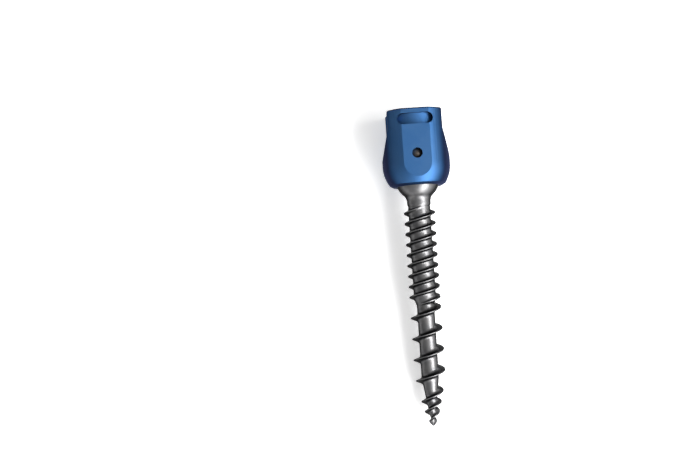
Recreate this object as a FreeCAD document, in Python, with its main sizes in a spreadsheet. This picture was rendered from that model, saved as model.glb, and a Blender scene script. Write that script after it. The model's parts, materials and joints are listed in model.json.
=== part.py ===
"""Polyaxial pedicle screw, 6.5 x 45 mm, for a 5.5 mm rod, lying on the back of its tulip head.

Each piece is drawn upright, in the head's own axes: Z runs up the bore of the head, X along the rod
and -Y to the front, with the centre of the ball at the origin. It is then laid down, so that in the
part's frame +Z is up, +Y runs to the open end of the head and +X along the rod. The origin is the
middle of the rod channel. Lengths are in millimetres and angles in degrees.
"""
import FreeCAD, Part
import math
import os
import re

import Sketcher
from FreeCAD import Placement, Rotation, Vector

# Driving sizes
SIZES = {
    # Rod and its channel
    "rod_diameter": 5.5,
    "channel_gap": 0.05,
    # Tulip head
    "tulip_diameter": 14.0,
    "flat_depth": 0.6,
    "arm_width": 11.2,
    "arm_length": 4.1,
    "flare_angle": 13.2,
    "arm_rise": 6.2,
    "lip_drop": 1.65,
    "hip_rise": 4.35,
    "lip_chamfer": 0.4,
    "rim_chamfer": 0.25,
    # Instrument pocket across each arm
    "pocket_width": 7.3,
    "pocket_height": 2.3,
    "pocket_drop": 2.2,
    "pocket_depth": 0.6,
    # Set screw, and the bore that its thread turns in
    "set_screw_diameter": 10.0,
    "thread_gap": 0.05,
    "thread_run": 1.3,
    "thread_entry": 0.3,
    "set_screw_gap": 0.02,
    # Ball, crown and friction ring
    "ball_radius": 4.6,
    "ball_gap": 0.02,
    "ball_flat_rise": 3.3,
    "chamber_gap": 0.05,
    "crown_web": 0.35,
    "crown_lift": 1.5,
    "crown_float": 0.25,
    "prong_drop": 0.6,
    "driver_hole_diameter": 5.2,
    "ring_lift": 0.2,
    "ring_height": 1.0,
    "ring_wall": 0.5,
    "ring_split": 16,
    # Crown pins
    "pin_diameter": 2.1,
    "pin_drop": 3.1,
    "pin_recess": 0.75,
    "pin_reach": 0.6,
    "pin_dome": 1.4,
    "pin_gap": 0.05,
    # Six-lobed drive sockets
    "drive_diameter": 5.0,
    "drive_core_diameter": 3.7,
    "drive_lobe_radius": 0.56,
    "drive_depth": 2.8,
    # Neck and threaded shank: a start or length here runs down the axis from the ball's centre
    "neck_diameter": 4.9,
    "neck_blend": 1.8,
    "neck_taper": 0.4,
    "shank_start": 5.7,
    "shank_length": 45.7,
    "thread_diameter": 6.5,
    "thread_lead": 4.35,
    "first_crest": 4.9,
    "crest_width": 0.25,
    "head_flank": 8,
    "tip_flank": 24,
    "run_in": 1.4,
    "dual_length": 20.5,
    "upper_core_diameter": 4.6,
    "lower_core_diameter": 3.64,
    "core_step": 1.6,
    "core_taper": 10.2,
    "core_bluntness": 0.75,
    "crest_taper": 10.8,
    "crest_bluntness": 0.55,
    "tip_start_length": 6.3,
    "flats_per_turn": 20,
}

# Sizes that follow from them
WORKED_OUT = {
    "rod_radius": "rod_diameter / 2",
    "rod_rise": "ball_radius + crown_web + rod_radius",
    "channel_radius": "rod_radius + channel_gap",
    "tulip_radius": "tulip_diameter / 2",
    "tulip_top": "rod_rise + arm_rise",
    "hip_height": "hip_rise - lip_drop",
    "arm_foot": "tulip_top - arm_length",
    "flat_offset": "tulip_radius - flat_depth",
    "pocket_floor": "flat_offset - pocket_depth",
    "pocket_end": "pocket_height / 2",
    "pocket_rise": "tulip_top - pocket_drop",
    "seat_radius": "ball_radius + ball_gap",
    "lip_radius": "sqrt(seat_radius ^ 2 - lip_drop ^ 2)",
    "chamber_radius": "ball_radius + chamber_gap",
    "thread_bore": "set_screw_diameter / 2 + thread_gap",
    "thread_foot": "rod_rise + rod_radius - thread_run",
    "ring_radius": "chamber_radius + ring_wall",
    "ring_top": "ring_lift + ring_height",
    "groove_radius": "ring_radius + chamber_gap",
    "crown_top": "rod_rise - prong_drop",
    "pin_radius": "pin_diameter / 2",
    "pin_rise": "rod_rise - pin_drop",
    "pin_root": "ball_radius - pin_reach",
    "pin_tip": "flat_offset - pin_recess",
    "slot_radius": "pin_radius + pin_gap",
    "set_screw_foot": "rod_rise + rod_radius + set_screw_gap",
    "neck_radius": "neck_diameter / 2",
    "blend_angle": "asin((neck_radius + neck_blend) / (ball_radius + neck_blend))",
    "blend_drop": "(ball_radius + neck_blend) * cos(blend_angle)",
    "core_radius": "upper_core_diameter / 2",
    "thread_radius": "thread_diameter / 2",
    "shank_end": "shank_start + shank_length",
    "back_crest": "first_crest + 0.75 * thread_lead",
    "last_full_crest": "shank_end - crest_taper",
    "floor_crest": "back_crest + thread_lead * floor((last_full_crest - back_crest) / thread_lead)",
    "rest_pitch": "asin(flat_offset / sqrt(floor_crest ^ 2 + thread_radius ^ 2))"
                  " - atan(thread_radius / floor_crest)",
}

CLEAR = 1.0  # how far a cutting shape runs on past the surface that it leaves by

doc = FreeCAD.newDocument("pedicle_screw")
sheet = doc.addObject("Spreadsheet::Sheet", "sizes")
for row, (alias, number) in enumerate(SIZES.items(), start=1):
    sheet.set(f"A{row}", alias)
    sheet.set(f"B{row}", str(number))
    sheet.setAlias(f"B{row}", alias)
for row, (alias, formula) in enumerate(WORKED_OUT.items(), start=1):
    sheet.set(f"D{row}", alias)
    sheet.set(f"E{row}", "=" + formula)
    sheet.setAlias(f"E{row}", alias)
doc.recompute()


def on_sheet(formula):
    """The formula with the sheet's name before each of its aliases."""
    def owned(word):
        return f"sizes.{word[0]}" if word[0] in SIZES or word[0] in WORKED_OUT else word[0]
    return re.sub("[a-z_]+", owned, str(formula))


def size(formula):
    """The number that a formula on the sheet's sizes gives."""
    found = sheet.evalExpression(on_sheet(formula))
    return float(getattr(found, "Value", found))


def bind(thing, **formulas):
    """Tie properties of an object to formulas, with two underscores for each dot of a path."""
    for path, formula in formulas.items():
        thing.setExpression(path.replace("__", "."), on_sheet(formula))


# Sketches


def new_body(label):
    """A body with the label that its piece has."""
    body = doc.addObject("PartDesign::Body", label)
    body.Label = label
    return body


def origin_plane(body, role):
    """One of the body's own origin planes."""
    return [part for part in body.Origin.OriginFeatures if part.Role == role][0]


def sketch_on(body, role, name, offset="0"):
    """A sketch on an origin plane of the body, moved out along the plane's normal."""
    sketch = body.newObject("Sketcher::SketchObject", name)
    sketch.AttachmentSupport = [(origin_plane(body, role), "")]
    sketch.MapMode = "FlatFace"
    bind(sketch, AttachmentOffset__Base__z=offset)
    return sketch


def pin_point(sketch, geometry, end, name, across=None, up=None):
    """Hold a point of the sketch at its distances from the sketch's origin."""
    for kind, formula in (("DistanceX", across), ("DistanceY", up)):
        if formula is None:
            continue
        rule = Sketcher.Constraint(kind, -1, 1, geometry, end, size(formula))
        index = sketch.addConstraint(rule)
        sketch.renameConstraint(index, f"{name}_{kind[-1].lower()}")
        sketch.setExpression(f"Constraints.{name}_{kind[-1].lower()}", on_sheet(formula))


def outline(sketch, *path):
    """Close a wire through corners, each a pair of formulas.

    ("arc", x, y, turn) after a corner bends the side that starts there about the centre x, y, to
    the left or right. The circle then settles one coordinate of the corner where the arc ends, so
    only the other one is held.
    """
    corners = []
    for step in path:
        if step[0] == "arc":
            corners[-1] = (corners[-1][0], step)
        else:
            corners.append((step, None))
    points = [Vector(size(x), size(y), 0) for (x, y), bend in corners]
    ends = []
    settled = {}
    for index, (corner, bend) in enumerate(corners):
        target = (index + 1) % len(corners)
        if bend is None:
            sketch.addGeometry(Part.LineSegment(points[index], points[target]), False)
            ends.append((1, 2))
            continue
        centre = Vector(size(bend[1]), size(bend[2]), 0)
        leaving = points[index] - centre
        landing = points[target] - centre
        angles = [math.atan2(leaving.y, leaving.x), math.atan2(landing.y, landing.x)]
        if bend[3] == "right":
            angles.reverse()
        circle = Part.Circle(centre, Vector(0, 0, 1), leaving.Length)
        sketch.addGeometry(Part.ArcOfCircle(circle, angles[0], angles[1]), False)
        ends.append((1, 2) if bend[3] == "left" else (2, 1))
        settled[target] = "x" if abs(landing.x) > abs(landing.y) else "y"
    for index, (corner, bend) in enumerate(corners):
        target = (index + 1) % len(corners)
        joint = Sketcher.Constraint("Coincident", index, ends[index][1], target, ends[target][0])
        sketch.addConstraint(joint)
        across = None if settled.get(index) == "x" else corner[0]
        up = None if settled.get(index) == "y" else corner[1]
        pin_point(sketch, index, ends[index][0], f"corner_{'abcdefghijklmnop'[index]}", across, up)
        if bend:
            pin_point(sketch, index, 3, f"centre_{'abcdefghijklmnop'[index]}", bend[1], bend[2])


def circle(sketch, across, up, radius):
    """A circle with its centre and radius held."""
    round_edge = Part.Circle(Vector(size(across), size(up), 0), Vector(0, 0, 1), size(radius))
    index = sketch.addGeometry(round_edge, False)
    pin_point(sketch, index, 3, "centre", across, up)
    rule = sketch.addConstraint(Sketcher.Constraint("Radius", index, size(radius)))
    sketch.renameConstraint(rule, "radius")
    bind(sketch, Constraints__radius=radius)


def obround(sketch, half_wide, low, high, radius, upright):
    """A slot with round ends: upright between two heights, or lying between two sides."""
    if upright:
        outline(sketch, (f"-{radius}", low), ("arc", "0", low, "left"), (radius, low),
                (radius, high), ("arc", "0", high, "left"), (f"-{radius}", high))
    else:
        outline(sketch, (f"-{half_wide}", low), (half_wide, low),
                ("arc", half_wide, f"({low} + {high}) / 2", "left"), (half_wide, high),
                (f"-{half_wide}", high), ("arc", f"-{half_wide}", f"({low} + {high}) / 2", "left"))


# Features


def feature(body, kind, name, profile=None, **formulas):
    """A feature of the body, made from a sketch if it takes one, with its sizes bound."""
    made = body.newObject("PartDesign::" + kind, name)
    if profile is not None:
        made.Profile = profile
    if kind in ("Revolution", "Groove"):
        made.ReferenceAxis = (profile, ["V_Axis"])
    bind(made, **formulas)
    return made


def through(pocket):
    """Run a pocket through the whole body, both ways."""
    pocket.Type = "ThroughAll"
    pocket.SideType = "Symmetric"
    return pocket


def mirrored(body, originals, role, name):
    """The same features again on the far side of an origin plane."""
    twin = body.newObject("PartDesign::Mirrored", name)
    twin.Originals = originals
    twin.MirrorPlane = (origin_plane(body, role), [""])
    body.Tip = twin
    return twin


def edges_where(body, wanted):
    """Names of the body's edges whose middle point passes a test."""
    doc.recompute()
    names = []
    for number, edge in enumerate(body.Tip.Shape.Edges, start=1):
        middle = edge.valueAt((edge.FirstParameter + edge.LastParameter) / 2)
        if wanted(middle, edge):
            names.append(f"Edge{number}")
    return names


def drive_socket(body, mouth):
    """A six-lobed socket for the driver, sunk into the body from a height."""
    core = sketch_on(body, "XY_Plane", body.Label + "_drive_core", mouth)
    circle(core, "0", "0", "drive_core_diameter / 2")
    feature(body, "Pocket", body.Label + "_drive", core, Length="drive_depth")
    lobe = sketch_on(body, "XY_Plane", body.Label + "_drive_lobe", mouth)
    circle(lobe, "drive_diameter / 2 - drive_lobe_radius", "0", "drive_lobe_radius")
    flute = feature(body, "Pocket", body.Label + "_flute", lobe, Length="drive_depth")
    doc.recompute()
    flutes = body.newObject("PartDesign::PolarPattern", body.Label + "_flutes")
    flutes.Originals = [flute]
    flutes.Axis = (lobe, ["N_Axis"])
    flutes.Angle = 360
    flutes.Occurrences = 6
    body.Tip = flutes


# Pieces


def tulip_head():
    """The receiver: two arms with a rod channel between them, over a rounded ball chamber."""
    body = new_body("tulip_head")
    profile = sketch_on(body, "XZ_Plane", "barrel_line")
    outline(profile, ("0", "-lip_drop"),
            ("sqrt(tulip_radius ^ 2 - hip_rise ^ 2) - lip_chamfer", "-lip_drop"),
            ("sqrt(tulip_radius ^ 2 - (hip_rise - lip_chamfer) ^ 2)", "lip_chamfer - lip_drop"),
            ("arc", "0", "hip_height", "left"), ("tulip_radius", "hip_height"),
            ("tulip_radius", "tulip_top"), ("0", "tulip_top"))
    feature(body, "Revolution", "barrel", profile)

    front = sketch_on(body, "XY_Plane", "flat_line", "tulip_top")
    outline(front, ("-tulip_diameter", "-tulip_diameter"), ("tulip_diameter", "-tulip_diameter"),
            ("tulip_diameter", "-flat_offset"), ("-tulip_diameter", "-flat_offset"))
    flat = through(feature(body, "Pocket", "front_flat", front))
    mirrored(body, [flat], "XZ_Plane", "flats")

    slot = sketch_on(body, "XZ_Plane", "pocket_line", "rod_radius")
    obround(slot, "(pocket_width / 2 - pocket_end)", "(pocket_rise - pocket_end)",
            "(pocket_rise + pocket_end)", "pocket_end", upright=False)
    pocket = feature(body, "Pocket", "front_pocket", slot, Length="tulip_diameter")
    pocket.Reversed = True
    mirrored(body, [pocket], "XZ_Plane", "pockets")
    bed = sketch_on(body, "XY_Plane", "pocket_bed", "hip_height")
    circle(bed, "0", "0", "pocket_floor")
    feature(body, "Pad", "pocket_floors", bed, Length="tulip_top - hip_height")

    side = sketch_on(body, "XZ_Plane", "side_line")
    outline(side, ("arm_width / 2", f"tulip_top + {CLEAR}"), ("arm_width / 2", "arm_foot"),
            (f"tulip_radius + {CLEAR}",
             f"arm_foot - (tulip_radius + {CLEAR} - arm_width / 2) / tan(flare_angle)"),
            ("tulip_diameter", "hip_height"), ("tulip_diameter", f"tulip_top + {CLEAR}"))
    flank = through(feature(body, "Pocket", "right_side", side))
    mirrored(body, [flank], "YZ_Plane", "sides")

    trough = sketch_on(body, "YZ_Plane", "channel_line")
    outline(trough, ("-channel_radius", "rod_rise"), ("arc", "0", "rod_rise", "left"),
            ("channel_radius", "rod_rise"), ("channel_radius", f"tulip_top + {CLEAR}"),
            ("-channel_radius", f"tulip_top + {CLEAR}"))
    through(feature(body, "Pocket", "rod_channel", trough))

    bore = sketch_on(body, "XZ_Plane", "bore_line")
    outline(bore, ("0", f"-lip_drop - {CLEAR}"), ("lip_radius", f"-lip_drop - {CLEAR}"),
            ("lip_radius", "-lip_drop"), ("arc", "0", "0", "left"), ("seat_radius", "0"),
            ("chamber_radius", "0"), ("chamber_radius", "ring_lift - chamber_gap"),
            ("groove_radius", "ring_lift - chamber_gap"),
            ("groove_radius", "ring_top + chamber_gap"),
            ("chamber_radius", "ring_top + chamber_gap"), ("chamber_radius", "thread_foot"),
            ("thread_bore", "thread_foot + thread_bore - chamber_radius"),
            ("thread_bore", "tulip_top - thread_entry"),
            (f"thread_bore + thread_entry + {CLEAR}", f"tulip_top + {CLEAR}"),
            ("0", f"tulip_top + {CLEAR}"))
    feature(body, "Groove", "chamber", bore)

    eye = sketch_on(body, "XZ_Plane", "pin_line")
    circle(eye, "0", "pin_rise", "pin_radius")
    through(feature(body, "Pocket", "pin_holes", eye))

    top = size("tulip_top")
    wall = size("channel_radius") + 0.05
    mouth = size("thread_bore + thread_entry") + 0.1

    def on_outer_rim(point, edge):
        level = all(abs(corner.Point.z - top) < 0.001 for corner in edge.Vertexes)
        return level and abs(point.y) > wall and math.hypot(point.x, point.y) > mouth
    names = edges_where(body, on_outer_rim)
    rim = feature(body, "Chamfer", "top_rim", Size="rim_chamfer")
    rim.Base = (body.Group[-2], names)
    return body


def crown():
    """The saddle between ball and rod: cupped below, cradled above, bored for the driver."""
    body = new_body("crown")
    blank = sketch_on(body, "XY_Plane", "crown_blank_line", "crown_lift")
    circle(blank, "0", "0", "ball_radius")
    feature(body, "Pad", "crown_blank", blank, Length="crown_top - crown_lift")
    feature(body, "SubtractiveSphere", "ball_cup", Radius="seat_radius")
    hole = sketch_on(body, "XY_Plane", "driver_hole_line")
    circle(hole, "0", "0", "driver_hole_diameter / 2")
    through(feature(body, "Pocket", "driver_hole", hole))
    cradle = sketch_on(body, "YZ_Plane", "cradle_line")
    circle(cradle, "0", "rod_rise", "rod_radius")
    through(feature(body, "Pocket", "cradle", cradle))
    slot = sketch_on(body, "XZ_Plane", "pin_slot_line", "pin_root")
    obround(slot, None, "(pin_rise - crown_float - pin_gap)", "pin_rise", "slot_radius", upright=True)
    cut = feature(body, "Pocket", "front_pin_slot", slot, Length="ball_radius")
    cut.Reversed = True
    mirrored(body, [cut], "XZ_Plane", "pin_slots")
    return body


def crown_pin(label, sign):
    """A short pin with a domed end, pressed through a flat and into the crown's slot."""
    body = new_body(label)
    half = sketch_on(body, "XY_Plane", label + "_line", "pin_rise")
    dome_centre = f"{sign}(pin_tip - pin_dome)"
    shoulder = f"{sign}(pin_tip - pin_dome + sqrt(pin_dome ^ 2 - pin_radius ^ 2))"
    outline(half, ("0", f"{sign}(pin_root + pin_gap)"), ("pin_radius", f"{sign}(pin_root + pin_gap)"),
            ("pin_radius", shoulder), ("arc", "0", dome_centre, "right" if sign == "-" else "left"),
            ("0", f"{sign}pin_tip"))
    feature(body, "Revolution", label + "_turned", half)
    return body


def friction_ring():
    """A split ring in a groove of the chamber, which grips the ball just above its widest line."""
    body = new_body("friction_ring")
    section = sketch_on(body, "XZ_Plane", "ring_section")
    outline(section, ("sqrt(seat_radius ^ 2 - ring_lift ^ 2)", "ring_lift"),
            ("ring_radius", "ring_lift"), ("ring_radius", "ring_top"),
            ("sqrt(seat_radius ^ 2 - ring_top ^ 2)", "ring_top"), ("arc", "0", "0", "right"))
    turned = feature(body, "Revolution", "ring_turned", section, Angle="360 - ring_split")
    turned.Midplane = False
    return body


def set_screw():
    """The plug that is screwed down on the rod, flush with the arms."""
    body = new_body("set_screw")
    half = sketch_on(body, "XZ_Plane", "set_screw_line")
    outline(half, ("0", "set_screw_foot"),
            ("set_screw_diameter / 2 - thread_entry", "set_screw_foot"),
            ("set_screw_diameter / 2", "set_screw_foot + thread_entry"),
            ("set_screw_diameter / 2", "tulip_top - thread_entry"),
            ("set_screw_diameter / 2 - thread_entry", "tulip_top"), ("0", "tulip_top"))
    feature(body, "Revolution", "set_screw_turned", half)
    drive_socket(body, "tulip_top")
    return body


def ball_and_neck():
    """The ball with its flat and drive socket, blended into the neck of the shank."""
    body = new_body("ball_and_neck")
    half = sketch_on(body, "XZ_Plane", "ball_line")
    outline(half, ("0", "-shank_start"), ("core_radius", "-shank_start"),
            ("neck_radius", "neck_taper - shank_start"), ("neck_radius", "-blend_drop"),
            ("arc", "neck_radius + neck_blend", "-blend_drop", "right"),
            ("ball_radius * sin(blend_angle)", "-ball_radius * cos(blend_angle)"),
            ("arc", "0", "0", "left"),
            ("sqrt(ball_radius ^ 2 - ball_flat_rise ^ 2)", "ball_flat_rise"),
            ("0", "ball_flat_rise"))
    feature(body, "Revolution", "ball_turned", half)
    drive_socket(body, "ball_flat_rise")
    return body


def threaded_shank():
    """The threaded part of the shank as a closed, faceted solid.

    One ridge runs the whole length. A second one, half a turn round, doubles it near the head and
    again at the tip. Each column of points lies in one plane through the axis and crosses both
    ridges, and the next turn's column carries on where it ends.
    """
    flats = round(size("flats_per_turn"))
    lead = size("thread_lead")
    first = size("first_crest")
    start = size("shank_start")
    top = size("shank_start - neck_taper")
    tip = size("shank_end")
    dual_end = size("shank_start + dual_length")
    tip_start = size("shank_end - tip_start_length")
    half_crest = size("crest_width / 2")
    head_slope = math.tan(math.radians(size("head_flank")))
    tip_slope = math.tan(math.radians(size("tip_flank")))
    upper, lower = size("core_radius"), size("lower_core_diameter / 2")
    crest_radius = size("thread_radius")
    run_in, core_step = size("run_in"), size("core_step")
    core_taper, core_bluntness = size("core_taper"), size("core_bluntness")
    crest_taper, crest_bluntness = size("crest_taper"), size("crest_bluntness")

    def share(depth, begin, length):
        """How far depth has gone along a stretch, from 0 to 1."""
        return min(1.0, max(0.0, (depth - begin) / length))

    def core(depth):
        width = upper + (lower - upper) * share(depth, dual_end - run_in, core_step)
        return width * (1 - share(depth, tip - core_taper, core_taper)) ** core_bluntness

    def ridge(which, depth):
        """How far the ridge stands out from the core."""
        crest = crest_radius * (1 - share(depth, tip - crest_taper, crest_taper)) ** crest_bluntness
        grown = share(depth, start, run_in)
        if which == 1:
            dual = min(grown, 1 - share(depth, dual_end - run_in, run_in))
            grown = max(dual, share(depth, tip_start, run_in))
        return (crest - core(depth)) * grown

    points = []
    numbers = {}

    def point(column, radius, depth):
        """The number of the point at this radius and depth, in the plane of its column."""
        depth = min(max(depth, top), tip)
        angle = -2 * math.pi * column / flats
        place = (radius * math.cos(angle), radius * math.sin(angle), -depth)
        key = tuple(round(value, 5) for value in place)
        if key not in numbers:
            numbers[key] = len(points)
            points.append(Vector(*place))
        return numbers[key]

    def crossing(column):
        """The points of one column, where it crosses both ridges."""
        found = []
        for which in (0, 1):
            middle = first + lead * (column / flats + which / 2)
            height = ridge(which, middle)
            corners = ((middle - half_crest - height * head_slope, 0), (middle - half_crest, height),
                       (middle + half_crest, height), (middle + half_crest + height * tip_slope, 0))
            for depth, rise in corners:
                inside = top < depth < tip
                radius = core(min(max(depth, top), tip)) + (rise if inside else 0)
                found.append(point(column, radius, depth))
        return found

    first_column = math.floor(flats * ((top - first) / lead - 1)) - 1
    last_column = math.ceil(flats * (tip + half_crest - first) / lead) + 1
    columns = {column: crossing(column) for column in range(first_column, last_column + flats + 1)}
    facets = []

    def facet(*corners):
        if len(set(corners)) == 3:
            facets.append(corners)

    for column in range(first_column, last_column):
        here = columns[column] + columns[column + flats][:1]
        there = columns[column + 1] + columns[column + 1 + flats][:1]
        for (near, near_below), (far, far_below) in zip(zip(here, here[1:]), zip(there, there[1:])):
            falling = points[near].distanceToPoint(points[far_below])
            rising = points[far].distanceToPoint(points[near_below])
            if falling < rising:
                facet(near, far, far_below)
                facet(near, far_below, near_below)
            else:
                facet(near, far, near_below)
                facet(far, far_below, near_below)
    middle = point(0, 0, top)
    for column in range(flats):
        facet(middle, point(column + 1, core(top), top), point(column, core(top), top))

    skin = Part.makeShell([Part.Face(Part.makePolygon([points[corner] for corner in (*each, each[0])]))
                           for each in facets])
    skin.sewShape()
    shank = doc.addObject("Part::Feature", "threaded_shank")
    shank.Shape = Part.makeSolid(skin)
    return shank


def bone_screw():
    """Ball, neck and threaded shank in one piece."""
    whole = doc.addObject("Part::Fuse", "bone_screw")
    whole.Base = ball_and_neck()
    whole.Tool = threaded_shank()
    whole.Label = "bone_screw"
    return whole


def lay_down(piece, pitch="0 deg"):
    """Turn a piece from upright to lying on its back, and move the rod channel to the origin.

    A pitch lowers the tip about the centre of the ball.
    """
    about_ball = Rotation(Vector(-1, 0, 0), 90)
    piece.Placement = Placement(Vector(0, -size("rod_rise"), 0), about_ball)
    bind(piece, Placement__Base__y="-rod_rise", Placement__Rotation__Angle=f"90 deg - {pitch}")


pieces = [tulip_head(), crown(), crown_pin("crown_pin_front", "-"), crown_pin("crown_pin_back", ""),
          friction_ring(), set_screw()]
for piece in pieces:
    lay_down(piece)
screw = bone_screw()
lay_down(screw, "rest_pitch")
pieces.append(screw)
doc.recompute()

for thing in doc.Objects:
    if {"Invalid", "Error"} & set(thing.State):
        raise RuntimeError(f"{thing.Label} failed: {thing.State}")
for piece in pieces:
    if piece.Shape.isNull() or not piece.Shape.isValid():
        raise RuntimeError(f"{piece.Label} has no valid shape")

os.makedirs("parts", exist_ok=True)
for piece in pieces:
    piece.Shape.exportStep(f"parts/{piece.Label}.step")
    print(piece.Label, round(piece.Shape.Volume, 3), "mm3", len(piece.Shape.Solids), "solid")
print("rest pitch", round(size("rest_pitch"), 3), "rod rise", size("rod_rise"))
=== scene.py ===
# %% [markdown]
# # A polyaxial pedicle screw in titanium
#
# This bone screw has a ball on top of its shank, and the ball sits in a forked head, called a tulip.
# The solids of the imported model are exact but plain. Here the thread gets its smooth flanks, the set
# screw and the arms get the fine thread that locks them together, and every surface gets a finish.
# Everything is in metres, with the screw lying on the back of its head and +Z up.

# %% The frame
import json
import math

import bmesh
import bpy
from mathutils import Matrix, Vector


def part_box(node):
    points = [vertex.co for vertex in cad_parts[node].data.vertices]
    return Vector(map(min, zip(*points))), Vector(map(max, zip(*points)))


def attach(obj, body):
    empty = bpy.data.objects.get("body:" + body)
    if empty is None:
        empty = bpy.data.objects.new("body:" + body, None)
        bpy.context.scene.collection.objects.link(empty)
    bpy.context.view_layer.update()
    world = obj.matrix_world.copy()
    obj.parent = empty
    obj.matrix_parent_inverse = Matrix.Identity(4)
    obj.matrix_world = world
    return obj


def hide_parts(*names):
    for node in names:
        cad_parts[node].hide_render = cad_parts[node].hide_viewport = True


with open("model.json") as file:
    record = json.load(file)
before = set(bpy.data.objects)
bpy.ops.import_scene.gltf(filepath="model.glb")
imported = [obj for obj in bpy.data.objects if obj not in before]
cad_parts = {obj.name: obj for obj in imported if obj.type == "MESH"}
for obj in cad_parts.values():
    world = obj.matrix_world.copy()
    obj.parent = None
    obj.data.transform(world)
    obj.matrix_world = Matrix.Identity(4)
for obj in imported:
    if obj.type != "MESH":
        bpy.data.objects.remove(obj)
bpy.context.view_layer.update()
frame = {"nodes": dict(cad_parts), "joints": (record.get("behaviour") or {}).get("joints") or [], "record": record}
MM = 0.001
print("pieces in the frame:", ", ".join(sorted(frame["nodes"])))

# %% [markdown]
# ## Two ways to stand
#
# It is easier to draw a turned piece upright, with its axis on Z, than where it lies. So each new
# piece is drawn upright about the centre of the ball, and a matrix then lays it down. The head and
# the shank need one matrix each, because the shank is tilted in the head. Both come from the frame:
# the joint gives the ball's centre, and a mount gives the direction of the shank.

# %% Laying down
joints = {joint["name"]: joint for joint in frame["joints"]}
mounts = {mount["name"]: mount for mount in frame["record"]["mounts"]}
ball_centre = Vector(joints["head_tilt"]["pos_m"])


def lying(up):
    """The matrix that takes an upright piece to one whose axis runs along a direction."""
    along = Vector(up).normalized()
    side = Vector((1, 0, 0))
    turn = Matrix((side, along.cross(side), along)).transposed().to_4x4()
    return Matrix.Translation(ball_centre) @ turn


head_laid = lying(joints["set_screw_out"]["axis"])
shank_laid = lying(-Vector(mounts["bone_thread"]["axis"]))
print("ball centre", [round(value / MM, 2) for value in ball_centre], "mm")

# %% [markdown]
# ## From a bmesh to a piece
#
# Every new piece ends the same way. Doubled vertices are merged, the normals are made to point
# outwards, and the faces are shaded smooth up to an angle, so that a machined edge stays crisp.

# %% Finishing a mesh
SMOOTH_ANGLE = math.radians(32)


def smooth_by_angle(mesh, angle=SMOOTH_ANGLE):
    """Shade a mesh smooth, but keep the edges that turn by more than the angle sharp."""
    mesh.shade_smooth()
    mesh.set_sharp_from_angle(angle=angle)


def finished(bm, name, body, laid, replaced=()):
    """Turn a bmesh into an object that rides on a body."""
    bmesh.ops.remove_doubles(bm, verts=bm.verts, dist=0.0002 * MM)
    bmesh.ops.recalc_face_normals(bm, faces=bm.faces)
    bm.transform(laid)
    mesh = bpy.data.meshes.new(name)
    bm.to_mesh(mesh)
    bm.free()
    smooth_by_angle(mesh)
    piece = bpy.data.objects.new(name, mesh)
    bpy.context.scene.collection.objects.link(piece)
    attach(piece, body)
    if replaced:
        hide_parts(*replaced)
    print(f"{name}: {len(mesh.polygons)} faces")
    return piece


# %% [markdown]
# ## Turning a profile
#
# A lathe cuts every point of a profile at one radius and one height. `bmesh.ops.spin` does the same:
# it sweeps a chain of vertices round an axis. A helper chains the points, another bends a round
# stretch, and the spin closes on itself by merging its ends.

# %% Lathe helpers
ROUND_STEPS = 96


def chain(bm, points):
    """Join (radius, height) points, in millimetres, into a chain of edges."""
    made = [bm.verts.new((radius * MM, 0, height * MM)) for radius, height in points]
    edges = [bm.edges.new(pair) for pair in zip(made, made[1:])]
    return made, edges


def bend(centre, radius, start, end, steps):
    """Points on an arc of a profile, from one angle in degrees to another."""
    turns = [math.radians(start + (end - start) * step / steps) for step in range(steps + 1)]
    return [(centre[0] + radius * math.cos(turn), centre[1] + radius * math.sin(turn))
            for turn in turns]


def turned(bm, points):
    """Spin a profile into a full round shape."""
    made, edges = chain(bm, points)
    bmesh.ops.spin(bm, geom=made + edges, cent=(0, 0, 0), axis=(0, 0, 1), dvec=(0, 0, 0),
                   angle=math.tau, steps=ROUND_STEPS, use_merge=True, use_duplicate=False)


def ring_at(bm, radius, height):
    """The edges of the open ring at a radius and height."""
    return [edge for edge in bm.edges if edge.is_boundary and all(
        abs(math.hypot(vert.co.x, vert.co.y) / MM - radius) < 0.01
        and abs(vert.co.z / MM - height) < 0.01 for vert in edge.verts)]


# %% [markdown]
# ## The six-lobed socket
#
# The surgeon's driver has six rounded lobes. The socket grows from the open ring that the lathe
# leaves: the ring is extruded inwards and pushed to a wavy outline, extruded down, and closed with a
# shallow cone, as a drill leaves it.

# %% The socket
LOBES = 6
SOCKET_MEAN = 2.17
SOCKET_WAVE = 0.31
SOCKET_DEPTH = 2.8
SOCKET_CONE = 0.5


def push_out(bm, edges):
    """Extrude open edges and return the new ring's vertices and edges."""
    grown = bmesh.ops.extrude_edge_only(bm, edges=edges)["geom"]
    return ([item for item in grown if isinstance(item, bmesh.types.BMVert)],
            [item for item in grown if isinstance(item, bmesh.types.BMEdge) and item.is_boundary])


def add_socket(bm, radius, height):
    """Sink a six-lobed socket from the open ring at this radius and height."""
    verts, edges = push_out(bm, ring_at(bm, radius, height))
    for vert in verts:
        angle = math.atan2(vert.co.y, vert.co.x)
        reach = (SOCKET_MEAN + SOCKET_WAVE * math.cos(LOBES * angle)) * MM
        vert.co.x, vert.co.y = reach * math.cos(angle), reach * math.sin(angle)
    verts, edges = push_out(bm, edges)
    bmesh.ops.translate(bm, verts=verts, vec=(0, 0, -SOCKET_DEPTH * MM))
    for vert in push_out(bm, edges)[0]:
        vert.co = Vector((0, 0, (height - SOCKET_DEPTH - SOCKET_CONE) * MM))


# %% [markdown]
# ## Ball and neck
#
# The ball is flat on top, where the socket opens, and a hollow blend leads from it to the neck. The
# blend touches both: its centre lies as far from the ball's centre as the two radii together. Below,
# the neck laps a little into the core of the thread, out of sight.

# %% Ball and neck
BALL_RADIUS = 4.6
BALL_FLAT = 3.3
SOCKET_RIM = 2.75
NECK_RADIUS = 2.45
NECK_BLEND = 1.8
NECK_END = 5.3
CORE_TOP = 2.3
SHANK_START = 5.7
CORE_LAP = 0.4

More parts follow.
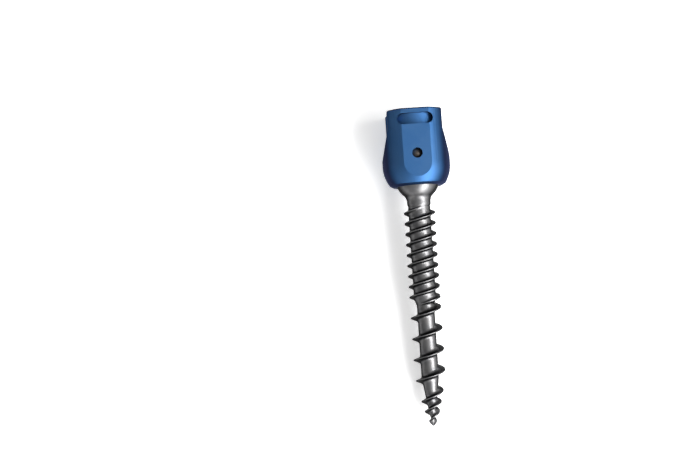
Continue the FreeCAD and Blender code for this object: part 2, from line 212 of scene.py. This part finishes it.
shank_mesh = bmesh.new()
flat_angle = math.degrees(math.asin(BALL_FLAT / BALL_RADIUS))
blend_angle = math.degrees(math.asin((NECK_RADIUS + NECK_BLEND) / (BALL_RADIUS + NECK_BLEND)))
blend_drop = (BALL_RADIUS + NECK_BLEND) * math.cos(math.radians(blend_angle))
turned(shank_mesh, [
    (SOCKET_RIM, BALL_FLAT),
    *bend((0, 0), BALL_RADIUS, flat_angle, blend_angle - 90, 40),
    *bend((NECK_RADIUS + NECK_BLEND, -blend_drop), NECK_BLEND, 90 + blend_angle, 180, 12)[1:],
    (NECK_RADIUS, -NECK_END), (CORE_TOP, -SHANK_START),
    (CORE_TOP * 0.8, -SHANK_START - CORE_LAP), (0, -SHANK_START - CORE_LAP),
])
add_socket(shank_mesh, SOCKET_RIM, BALL_FLAT)
print("ball and neck:", len(shank_mesh.faces), "faces, blend from", round(blend_angle, 1), "degrees")

# %% [markdown]
# ## A dual-lead bone thread
#
# One ridge runs the whole length with a lead of 4.35 mm. A second one, half a turn round, doubles it
# along the upper part, where the bone is hard, and again at the tip, where the screw has to bite.
# The profile of one lead, with both ridges, is spun down the axis as a helix, because its last point
# meets its own first point one turn on. Then each vertex is set to the height that the ridge really
# has at its depth, which gives the run-outs, the step of the core and the taper of the tip.

# %% Sizes of the bone thread
LEAD = 4.35
FIRST_CREST = 4.9
CREST_RADIUS = 3.25
CREST_HALF = 0.1
CORE_BELOW = 1.82
SHANK_END = max((vert.co - ball_centre).length
                for vert in frame["nodes"]["bone_screw"].data.vertices) / MM
SHANK_TOP = 5.3
RUN_IN = 1.4
DUAL_LENGTH = 20.5
DUAL_END = SHANK_START + DUAL_LENGTH
CORE_STEP = 1.6
TIP_LENGTH = 6.3
TIP_START = SHANK_END - TIP_LENGTH
CORE_TAPER, CORE_BLUNTNESS = 10.2, 0.75
CREST_TAPER, CREST_BLUNTNESS = 10.8, 0.55
HEAD_FLANK = math.tan(math.radians(16))
TIP_FLANK = math.tan(math.radians(20))
FULL_HEIGHT = CREST_RADIUS - CORE_BELOW
LEAST_SPREAD = 0.35
THREAD_STEPS = 96


def share(depth, begin, length):
    """How far a depth has gone along a stretch, from 0 to 1."""
    return min(1.0, max(0.0, (depth - begin) / length))


def eased(depth, begin, length):
    """The same, with a soft start and end."""
    part = share(depth, begin, length)
    return part * part * (3 - 2 * part)


def core_radius(depth):
    """The core's radius at a depth below the ball's centre."""
    wide = CORE_TOP + (CORE_BELOW - CORE_TOP) * eased(depth, DUAL_END - RUN_IN, CORE_STEP)
    return wide * (1 - share(depth, SHANK_END - CORE_TAPER, CORE_TAPER)) ** CORE_BLUNTNESS


def ridge_height(second, depth):
    """How far a ridge stands out from the core at a depth."""
    taper = 1 - share(depth, SHANK_END - CREST_TAPER, CREST_TAPER)
    grown = eased(depth, SHANK_START, RUN_IN)
    if second:
        dual = grown * (1 - eased(depth, DUAL_END - RUN_IN, RUN_IN))
        grown = max(dual, eased(depth, TIP_START, RUN_IN))
    return (CREST_RADIUS * taper ** CREST_BLUNTNESS - core_radius(depth)) * grown


# %% The helix
# Each pair is a share of the ridge's height and a shift along the axis, away from the crest: the
# crest is slightly rounded, and the flanks run into the core with a small hollow radius.
RIDGE = [(0.0, 0.5), (0.012, 0.35), (0.05, 0.2), (0.12, 0.1), (0.24, 0.03), (0.42, 0.0),
         (0.7, 0.0), (0.94, 0.0), (0.985, -0.02), (1.0, -0.06)]
thread_mesh = bmesh.new()
second_layer = thread_mesh.verts.layers.float.new("second")
rise_layer = thread_mesh.verts.layers.float.new("rise")
shift_layer = thread_mesh.verts.layers.float.new("shift")
side_layer = thread_mesh.verts.layers.float.new("side")
top_turns = math.ceil((FIRST_CREST + LEAD - SHANK_TOP) / LEAD) + 1
thread_turns = math.ceil((SHANK_END - FIRST_CREST) / LEAD) + top_turns + 1
profile = []
for second in (0, 1):
    crest_depth = FIRST_CREST + LEAD * (second / 2 - top_turns)
    for side, flank, steps in ((-1, HEAD_FLANK, RIDGE), (1, TIP_FLANK, RIDGE[::-1])):
        for rise, shift in steps:
            offset = side * (CREST_HALF + flank * FULL_HEIGHT * (1 - rise) + shift)
            vert = thread_mesh.verts.new((CORE_BELOW * MM, 0, -(crest_depth + offset) * MM))
            vert[second_layer], vert[rise_layer] = second, rise
            vert[shift_layer], vert[side_layer] = offset, side
            profile.append(vert)
closing = thread_mesh.verts.new(profile[0].co + Vector((0, 0, -LEAD * MM)))
for layer in (second_layer, rise_layer, shift_layer, side_layer):
    closing[layer] = profile[0][layer]
profile.append(closing)
profile_edges = [thread_mesh.edges.new(pair) for pair in zip(profile, profile[1:])]
bmesh.ops.spin(thread_mesh, geom=profile + profile_edges, cent=(0, 0, 0), axis=(0, 0, 1),
               dvec=(0, 0, -LEAD * MM / THREAD_STEPS), angle=-math.tau * thread_turns,
               steps=THREAD_STEPS * thread_turns, use_merge=False, use_duplicate=False)
bmesh.ops.remove_doubles(thread_mesh, verts=thread_mesh.verts, dist=0.001 * MM)
print("helix:", thread_turns, "turns,", len(thread_mesh.faces), "faces")

# %% [markdown]
# The spin made an endless rod. Now each vertex moves to its true radius, and the flanks spread less
# where the ridge is low. What would lie past the tip is gathered at the tip, and the rod is cut off
# at the neck.

# %% Run-outs and tip
for vert in thread_mesh.verts:
    angle = math.atan2(vert.co.y, vert.co.x)
    offset = vert[shift_layer]
    middle = -vert.co.z / MM - offset
    height = max(0.0, ridge_height(vert[second_layer] > 0.5, middle))
    spread = min(1.0, LEAST_SPREAD + (1 - LEAST_SPREAD) * height / FULL_HEIGHT)
    crest_side = vert[side_layer] * CREST_HALF
    depth = middle + crest_side + (offset - crest_side) * spread
    depth = min(depth, SHANK_END)
    radius = core_radius(depth) + vert[rise_layer] * height
    if depth >= SHANK_END:
        radius = 0.0
    vert.co = Vector((radius * math.cos(angle), radius * math.sin(angle), -depth)) * MM
bmesh.ops.remove_doubles(thread_mesh, verts=thread_mesh.verts, dist=0.001 * MM)
bmesh.ops.bisect_plane(thread_mesh, geom=thread_mesh.verts[:] + thread_mesh.edges[:]
                       + thread_mesh.faces[:], dist=0.0001 * MM,
                       plane_co=(0, 0, -SHANK_TOP * MM), plane_no=(0, 0, 1), clear_outer=True)
open_edges = [edge for edge in thread_mesh.edges if edge.is_boundary]
bmesh.ops.contextual_create(thread_mesh, geom=open_edges)
layers = thread_mesh.verts.layers.float
for name in ("second", "rise", "shift", "side"):
    layers.remove(layers[name])
copied = bpy.data.meshes.new("helix")
thread_mesh.to_mesh(copied)
thread_mesh.free()
shank_mesh.from_mesh(copied)
bone_screw = finished(shank_mesh, "threaded_bone_screw", "bone_screw", shank_laid, ["bone_screw"])

# %% [markdown]
# ## The thread that locks the rod
#
# The set screw and the arms share one fine thread. It is a ridge of four corners, swept as a helix:
# out to the crest on the screw, and in from the wall on the arms, half a pitch further on, so that
# the two interlock and never meet.

# %% A fine helix
FINE_PITCH = 1.5
FINE_STEPS = 72
FLAT_CREST = 0.16
FINE_FLANK = math.tan(math.radians(30))


def fine_thread(bm, root, crest, low, high, phase):
    """Add a closed helical ridge between two heights, fading in and out over a sixth of a turn."""
    turns = (high - low) / FINE_PITCH
    half_root = FLAT_CREST / 2 + abs(crest - root) * FINE_FLANK
    corners = [(root, low - half_root), (crest, low - FLAT_CREST / 2), (crest, low + FLAT_CREST / 2),
               (root, low + half_root)]
    made, _ = chain(bm, corners)
    first = bm.faces.new(made)
    steps = round(FINE_STEPS * turns)
    before = set(bm.verts) - set(made)
    bmesh.ops.rotate(bm, verts=made, cent=(0, 0, 0), matrix=Matrix.Rotation(phase, 3, "Z"))
    bmesh.ops.spin(bm, geom=[first], cent=(0, 0, 0), axis=(0, 0, 1),
                   dvec=(0, 0, FINE_PITCH * MM / FINE_STEPS),
                   angle=math.tau * steps / FINE_STEPS, steps=steps,
                   use_merge=False, use_duplicate=False)
    fade = FINE_PITCH / 6
    for vert in set(bm.verts) - before:
        height = vert.co.z / MM
        near_end = min(share(height, low - half_root, fade),
                       1 - share(height, high + half_root - fade, fade))
        radius = vert.co.xy.length / MM
        level = root + (radius - root) * near_end
        vert.co.x *= level / radius
        vert.co.y *= level / radius


# %% Set screw
SET_SCREW_ROOT = 4.62
SET_SCREW_CREST = 5.0
SINK = 0.02
SET_SCREW_FOOT = (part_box("set_screw")[0].y - ball_centre.y) / MM
TULIP_TOP = (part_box("tulip_head")[1].y - ball_centre.y) / MM
CHAMFER = 0.3
THREAD_LOW = SET_SCREW_FOOT + 0.35
THREAD_HIGH = TULIP_TOP - 0.45

set_mesh = bmesh.new()
turned(set_mesh, [
    (SOCKET_RIM, TULIP_TOP), (SET_SCREW_ROOT - CHAMFER, TULIP_TOP),
    (SET_SCREW_ROOT, TULIP_TOP - CHAMFER), (SET_SCREW_ROOT, SET_SCREW_FOOT + CHAMFER),
    (SET_SCREW_ROOT - CHAMFER, SET_SCREW_FOOT), (0, SET_SCREW_FOOT),
])
add_socket(set_mesh, SOCKET_RIM, TULIP_TOP)
fine_thread(set_mesh, SET_SCREW_ROOT - SINK, SET_SCREW_CREST, THREAD_LOW, THREAD_HIGH, 0.0)
set_screw = finished(set_mesh, "threaded_set_screw", "set_screw", head_laid, ["set_screw"])

# %% [markdown]
# The arms' own thread is swept all the way round, and two cuts take away what would hang across the
# rod channel. What is left are short arcs of ridge on the inside of each arm.

# %% Thread in the arms
ARM_BORE = 5.05
ARM_CREST = 4.68
ARM_WALL = 2.8
ARM_SINK = 0.05
ARM_THREAD_LOW = SET_SCREW_FOOT - 0.9
ARM_THREAD_HIGH = TULIP_TOP - 0.5
HALF_A_PITCH_ON = math.tau * ((ARM_THREAD_LOW - THREAD_LOW) / FINE_PITCH + 0.5)

arms_mesh = bmesh.new()
for outer in (1, -1):
    half = bmesh.new()
    fine_thread(half, ARM_BORE + ARM_SINK, ARM_CREST, ARM_THREAD_LOW, ARM_THREAD_HIGH,
                HALF_A_PITCH_ON)
    bmesh.ops.bisect_plane(half, geom=half.verts[:] + half.edges[:] + half.faces[:],
                           dist=0.0001 * MM, plane_co=(0, outer * ARM_WALL * MM, 0),
                           plane_no=(0, -outer, 0), clear_outer=True)
    bmesh.ops.holes_fill(half, edges=[edge for edge in half.edges if edge.is_boundary])
    part = bpy.data.meshes.new("half")
    half.to_mesh(part)
    half.free()
    arms_mesh.from_mesh(part)
arm_thread = finished(arms_mesh, "arm_thread", "tulip", head_laid)

# %% [markdown]
# ## Crisp machined pieces
#
# The other pieces have their true form in the frame already, as loose triangles. A copy is merged
# and its flat areas are joined, so that a small bevel can break every edge. A real edge is never
# perfectly sharp, and the thin line of light along it is what makes metal look solid. Only what is
# truly flat is joined: a joined strip of a round wall would be shaded wrong.


# %% Copies with broken edges
EDGE_ANGLE = math.radians(15)
POCKET_BED = 5.8
POCKET_HALF = 1.3
POCKET_BLEND = 0.56
POCKET_PLACE = mounts["instrument_pockets"]["pos_m"][1] / MM


def blend_pockets(bm):
    """Round the edge between the walls and the bed of the pockets, as an end mill leaves it."""
    def on_bed(vert):
        return (abs(math.hypot(vert.co.x, vert.co.z) / MM - POCKET_BED) < 0.02
                and abs(vert.co.y / MM - POCKET_PLACE) < POCKET_HALF)
    edges = [edge for edge in bm.edges if len(edge.link_faces) == 2
             and edge.calc_face_angle() > math.radians(40) and all(map(on_bed, edge.verts))]
    print("pocket edges:", len(edges))
    bmesh.ops.bevel(bm, geom=edges, offset=POCKET_BLEND * MM, segments=5, profile=0.5,
                    affect="EDGES", clamp_overlap=True)


def machined_copy(node, name, body, edge, blend_edges=None):
    """A merged copy of a frame piece, its edges broken by a bevel of this width in millimetres."""
    bm = bmesh.new()
    bm.from_mesh(frame["nodes"][node].data)
    bmesh.ops.remove_doubles(bm, verts=bm.verts, dist=0.0005 * MM)
    bmesh.ops.dissolve_limit(bm, angle_limit=math.radians(0.01), verts=bm.verts, edges=bm.edges,
                             use_dissolve_boundaries=False)
    if blend_edges:
        blend_edges(bm)
    mesh = bpy.data.meshes.new(name)
    bm.to_mesh(mesh)
    bm.free()
    smooth_by_angle(mesh, EDGE_ANGLE)
    piece = bpy.data.objects.new(name, mesh)
    bpy.context.scene.collection.objects.link(piece)
    broken = piece.modifiers.new("broken edges", "BEVEL")
    broken.width = edge * MM
    broken.segments = 2
    broken.limit_method = "ANGLE"
    broken.angle_limit = EDGE_ANGLE
    broken.harden_normals = True
    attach(piece, body)
    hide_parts(node)
    print(f"{name}: {len(mesh.polygons)} faces before its bevel")
    return piece


# %% Head and crown
head = machined_copy("tulip_head", "anodised_head", "tulip", 0.1, blend_pockets)
saddle = machined_copy("crown", "machined_crown", "crown", 0.05)

# %% [markdown]
# ## Shader maths as plain sums
#
# A finish is easier to read as a formula than as a row of nodes. This small class wraps an output of
# a node, and adds the Math node for each sum or product that is written with it.


# %% Shader expressions
class Varying:
    """A number or colour that varies over a surface."""

    def __init__(self, tree, socket):
        self.tree = tree
        self.socket = socket

    def maths(self, operation, *others):
        values = dict(enumerate([self, *others]))
        return add_node(self.tree, "ShaderNodeMath", {"operation": operation}, values)

    def __add__(self, other):
        return self.maths("ADD", other)

    def __mul__(self, other):
        return self.maths("MULTIPLY", other)

    __radd__ = __add__
    __rmul__ = __mul__

    def between(self, low, high):
        """0 below low, 1 above high, and a soft step from one to the other."""
        settings = {"interpolation_type": "SMOOTHSTEP"}
        values = {"Value": self, "From Min": low, "From Max": high}
        return add_node(self.tree, "ShaderNodeMapRange", settings, values)

    def mix(self, first, second):
        """One colour where this is 0 and another where it is 1."""
        values = {0: self, 6: first, 7: second}
        return add_node(self.tree, "ShaderNodeMix", {"data_type": "RGBA"}, values, output=2)


def add_node(tree, kind, settings, values, output=0):
    """Add a node: its settings first, then the values or links of its sockets."""
    node = tree.nodes.new(kind)
    for name, setting in settings.items():
        setattr(node, name, setting)
    for key, value in values.items():
        if isinstance(value, Varying):
            tree.links.new(value.socket, node.inputs[key])
        else:
            node.inputs[key].default_value = value
    return Varying(tree, node.outputs[output])


def colour(red, green, blue):
    """A screen colour, 0 to 255, as the linear one that a shader takes."""
    def linear(level):
        level = level / 255
        return level / 12.92 if level <= 0.04045 else ((level + 0.055) / 1.055) ** 2.4
    return (linear(red), linear(green), linear(blue), 1.0)


def new_material(name):
    """A material with nothing but its shader, and the tree to build in."""
    material = bpy.data.materials.new(name)
    material.use_nodes = True
    tree = material.node_tree
    tree.nodes.clear()
    out = tree.nodes.new("ShaderNodeOutputMaterial")
    shader = tree.nodes.new("ShaderNodeBsdfPrincipled")
    tree.links.new(shader.outputs[0], out.inputs["Surface"])
    return material, tree, shader


def feed(tree, shader, **values):
    """Set or link the shader's sockets, with an underscore for each space of a name."""
    for name, value in values.items():
        key = name.replace("_", " ")
        if isinstance(value, Varying):
            tree.links.new(value.socket, shader.inputs[key])
        else:
            shader.inputs[key].default_value = value


def wear(piece, material):
    """Give a piece this one material."""
    piece.data.materials.clear()
    piece.data.materials.append(material)


# %% [markdown]
# ## Surface position
#
# Patterns on metal follow the tool that cut it: rings round the axis on a turned piece. A Mapping
# node turns the object's coordinates upright again, in millimetres, so that a ring is simply a
# pattern along Z and the distance from the axis is the root of x squared plus y squared.


# %% Patterns along the axis
def upright_position(tree, laid):
    """The surface position in millimetres, in the upright axes of a piece that was laid down."""
    back = laid.inverted()
    coordinates = add_node(tree, "ShaderNodeTexCoord", {}, {}, output=3)
    values = {"Vector": coordinates, "Location": [value / MM for value in back.translation],
              "Rotation": back.to_euler(), "Scale": (1 / MM, 1 / MM, 1 / MM)}
    return add_node(tree, "ShaderNodeMapping", {"vector_type": "POINT"}, values)


def split(position):
    """The x, y and z of a position."""
    node = add_node(position.tree, "ShaderNodeSeparateXYZ", {}, {0: position}).socket.node
    return [Varying(position.tree, socket) for socket in node.outputs]


def noise(position, scale, detail=3.0):
    """Soft random patches, with this many to a millimetre."""
    values = {"Vector": position, "Scale": scale, "Detail": detail}
    return add_node(position.tree, "ShaderNodeTexNoise", {}, values)


# The mask for painted shade along the edges: the finishes darken their colour where it is 1.
def edge_shade_mask(tree, low, high):
    """0 where the surface faces the eye and 1 where it turns away."""
    return add_node(tree, "ShaderNodeLayerWeight", {}, {"Blend": 0.5}, output=1).between(low, high)


def bump(tree, height, strength, distance):
    """A normal from a height pattern."""
    values = {"Height": height, "Strength": strength, "Distance": distance * MM}
    return add_node(tree, "ShaderNodeBump", {}, values)


# %% [markdown]
# ## Blue anodised titanium
#
# The head is bead blasted and then anodised: a clear oxide film turns the metal blue. It is satin,
# with a very fine grain, and the film's thickness drifts a little, which shows as cloudy shifts
# between two blues. Towards the edges the blue is darkened with painted shade.


# %% Anodised blue
def anodised_blue():
    material, tree, shader = new_material("anodised blue")
    place = upright_position(tree, head_laid)
    clouds = noise(place, 0.16, 4.0)
    grain = noise(place, 9.0, 2.0)
    film_and_edge_shade = clouds.between(0.35, 0.65).mix(colour(59, 102, 152), colour(66, 107, 155))
    # Painted shade: the blue turns nearly black towards the edges, where the surface turns away from the eye.
    film_and_edge_shade = edge_shade_mask(tree, 0.08, 0.5).mix(film_and_edge_shade, colour(8, 24, 46))
    feed(tree, shader, Base_Color=film_and_edge_shade, Metallic=0.7, Specular_IOR_Level=0.3,
         Specular_Tint=colour(120, 150, 200), Roughness=0.5 + 0.08 * noise(place, 2.2, 3.0),
         Normal=bump(tree, grain, 0.12, 0.02))
    return material


blue = anodised_blue()
wear(head, blue)
wear(arm_thread, blue)

# %% [markdown]
# ## Satin grey titanium
#
# The shank is blasted bare titanium: dark grey, with a soft sheen. Painted shade darkens it towards the edges.
# Faint turning marks run round the core.


# %% Satin titanium
def satin_titanium():
    material, tree, shader = new_material("satin titanium")
    place = upright_position(tree, shank_laid)
    x, y, z = split(place)
    radius = (x * x + y * y).maths("SQRT")
    marks = noise(add_node(tree, "ShaderNodeCombineXYZ", {}, {0: radius * 0.4, 2: z}), 7.0, 2.0)
    grain = noise(place, 8.0, 3.0)
    clouds = noise(place, 0.5, 4.0).between(0.3, 0.7)
    tone = clouds.mix(colour(119, 119, 121), colour(130, 129, 129))
    # Painted shade: the grey turns nearly black towards the edges, where the surface turns away from the eye.
    tone = edge_shade_mask(tree, 0.08, 0.62).mix(tone, colour(30, 30, 32))
    feed(tree, shader, Base_Color=tone, Metallic=0.8, Specular_Tint=colour(130, 130, 130),
         Roughness=0.35 + 0.08 * noise(place, 1.5, 3.0),
         Normal=bump(tree, grain * 0.5 + marks * 0.5, 0.18, 0.02))
    return material


wear(bone_screw, satin_titanium())

# %% [markdown]
# ## Machined titanium
#
# The inner pieces are left as cut: brighter, with fine rings from the lathe. The pins are duller,
# because they stay as they come from the wire.


# %% Machined titanium
def machined_titanium(name, tone, roughness):
    material, tree, shader = new_material(name)
    place = upright_position(tree, head_laid)
    x, y, z = split(place)
    radius = (x * x + y * y).maths("SQRT")
    rings = noise(add_node(tree, "ShaderNodeCombineXYZ", {}, {0: radius, 2: z}), 6.0, 2.0)
    feed(tree, shader, Base_Color=rings.between(0.3, 0.7).mix(tone, [level * 1.2 for level in tone]),
         Metallic=0.8, Roughness=roughness + 0.1 * rings, Normal=bump(tree, rings, 0.15, 0.02))
    return material


ring = frame["nodes"]["friction_ring"]
wear(saddle, machined_titanium("machined titanium", colour(150, 148, 146), 0.22))
wear(set_screw, machined_titanium("set screw titanium", colour(150, 143, 143), 0.26))
wear(ring, machined_titanium("ring titanium", colour(160, 158, 155), 0.22))
pin_finish = machined_titanium("dull pin", colour(96, 89, 82), 0.4)
for node in ("crown_pin_front", "crown_pin_back"):
    wear(frame["nodes"][node], pin_finish)

# %% [markdown]
# ## Floor, light and camera
#
# The picture looks down on the screw, nearly square to its sloping shank, and the screw leans a few
# degrees in it. The distance comes from how much wider the near side of the head looks than its
# middle, and how alike the ridges look on both sides of the shank. A strip of light on the right
# draws the bright line along the shank, a broad soft one overhead lights the flat of the head, and a
# small key light picks out the edges. The floor glows a little by itself, so that it comes out white
# with only a soft shadow.

# %% Camera
IMAGE_WIDTH = 690
SENSOR = 36.0
PIXELS_PER_MM = 4.83
VIEW_DISTANCE = 260.0
LEAN = math.radians(3.81)
TILT = math.radians(4.0)
BALL_RIGHT, BALL_UP = 14.96, 10.64

right = Vector((math.cos(LEAN), -math.sin(LEAN), 0))
along_screw = Vector((math.sin(LEAN), math.cos(LEAN), 0))
up = along_screw * math.cos(TILT) + Vector((0, 0, math.sin(TILT)))
towards = right.cross(up)
aim = ball_centre - right * BALL_RIGHT * MM - up * BALL_UP * MM
lens = bpy.data.cameras.new("camera")
lens.sensor_width = SENSOR
lens.lens = PIXELS_PER_MM * VIEW_DISTANCE * SENSOR / IMAGE_WIDTH
lens.clip_start = 0.01
camera = bpy.data.objects.new("camera", lens)
camera.matrix_world = Matrix.Translation(aim + towards * VIEW_DISTANCE * MM) @ Matrix(
    (right, up, towards)).transposed().to_4x4()
bpy.context.scene.collection.objects.link(camera)
bpy.context.scene.camera = camera
print("lens", round(lens.lens, 1), "mm")


# %% Lights
AIM_BELOW_BALL = 15.0
WORLD_LIGHT = 0.2


def softbox(name, across, along, height, size, watts):
    """An area light at a place given as the picture sees it, aimed at the middle of the screw."""
    target = ball_centre - up * AIM_BELOW_BALL * MM
    lamp = bpy.data.lights.new(name, "AREA")
    lamp.shape = "RECTANGLE"
    lamp.size, lamp.size_y = size
    lamp.energy = watts
    light = bpy.data.objects.new(name, lamp)
    light.location = target + right * across + up * along + Vector((0, 0, height))
    back = (light.location - target).normalized()
    side = up.cross(back).normalized()
    light.matrix_world = Matrix.Translation(light.location) @ Matrix(
        (side, back.cross(side), back)).transposed().to_4x4()
    bpy.context.scene.collection.objects.link(light)


softbox("key", 0.24, -0.27, 0.20, (0.14, 0.14), 0.45)
softbox("strip", 0.28, -0.20, 0.28, (0.24, 0.8), 5.3)
softbox("overhead", 0.05, 0.05, 0.6, (0.5, 0.5), 0.42)

world = bpy.data.worlds.new("studio")
world.use_nodes = True
background = world.node_tree.nodes["Background"]
background.inputs["Color"].default_value = (1, 1, 1, 1)
background.inputs["Strength"].default_value = WORLD_LIGHT
bpy.context.scene.world = world
bpy.context.scene.view_settings.view_transform = "Standard"

# %% Floor
FLOOR_HALF = 0.6
FLOOR_GLOW = 0.5
floor_bm = bmesh.new()
bmesh.ops.create_grid(floor_bm, x_segments=1, y_segments=1, size=FLOOR_HALF)
bmesh.ops.translate(floor_bm, verts=floor_bm.verts, vec=(0, 0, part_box("tulip_head")[0].z))
floor_mesh = bpy.data.meshes.new("floor")
floor_bm.to_mesh(floor_mesh)
floor_bm.free()
floor = bpy.data.objects.new("floor", floor_mesh)
bpy.context.scene.collection.objects.link(floor)
white, white_tree, white_shader = new_material("white floor")
feed(white_tree, white_shader, Base_Color=colour(250, 250, 250), Roughness=0.9,
     Emission_Color=colour(255, 255, 255), Emission_Strength=FLOOR_GLOW)
wear(floor, white)
